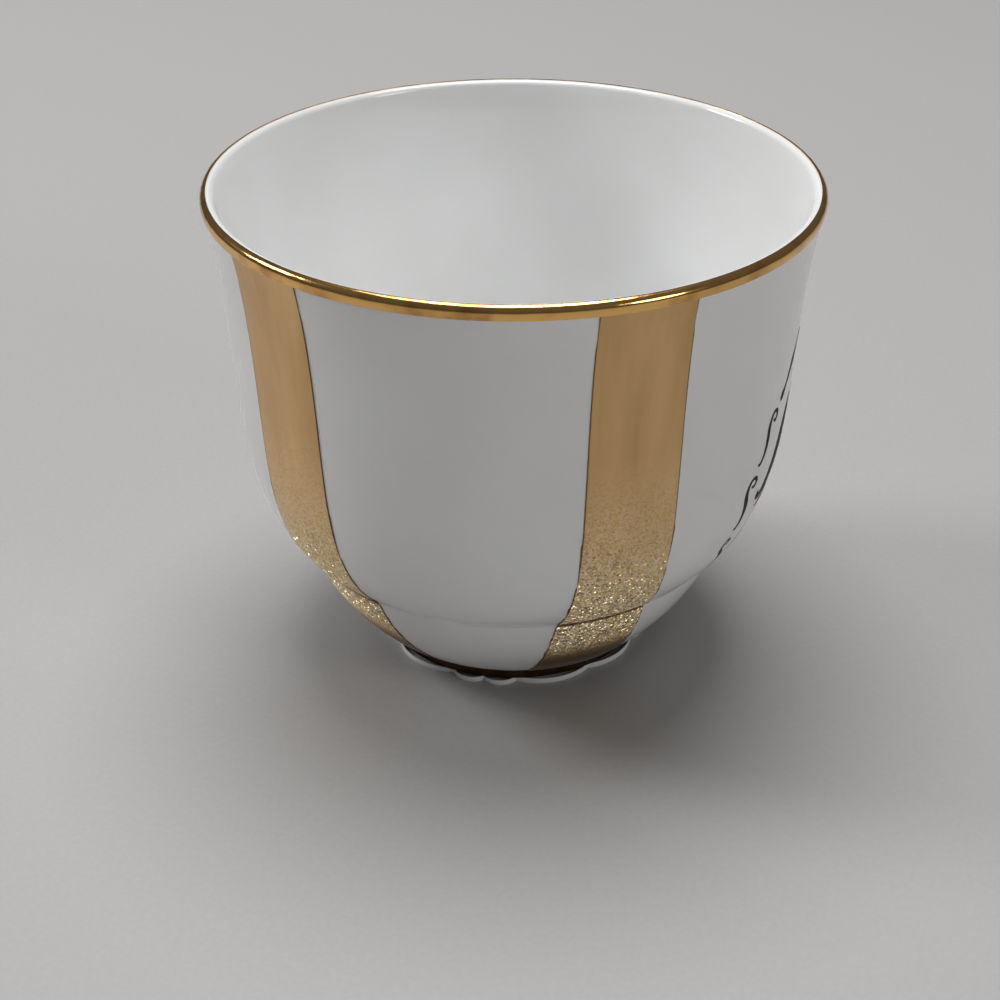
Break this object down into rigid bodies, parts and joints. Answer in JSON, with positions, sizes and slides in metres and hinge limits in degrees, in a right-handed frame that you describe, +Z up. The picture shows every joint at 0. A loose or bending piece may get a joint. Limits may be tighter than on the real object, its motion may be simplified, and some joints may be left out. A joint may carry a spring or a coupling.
{
  "type": "espresso cup",
  "caption": "Small handleless porcelain cup: thin tapered bowl with a crease above a rounded base band, scalloped foot, gilded rim and broad gilded stripes.",
  "frame": {"origin": "on the table under the middle of the foot", "axes": "+Z up along the cup's axis; -Y towards the narrow white panel between the front stripes; +X towards the wide panel with the print"},
  "size_m": [0.0628, 0.0628, 0.0521],
  "materials": {
    "porcelain": "clear gloss glaze over white porcelain",
    "polished_gold": "burnished gold, mirror bright",
    "satin_gold": "satin gold with a fine grain",
    "dark_gold": "dull dark gold",
    "print": "black enamel print fired into the glaze"
  },
  "bodies": {
    "root": {"bowl": "porcelain", "foot_ring": "porcelain", "rim_gilding": "polished_gold", "stripe_left_front": "satin_gold", "stripe_right_front": "satin_gold", "stripe_left_back": "satin_gold", "stripe_right_back": "satin_gold", "foot_line": "dark_gold"}
  },
  "joints": []
}
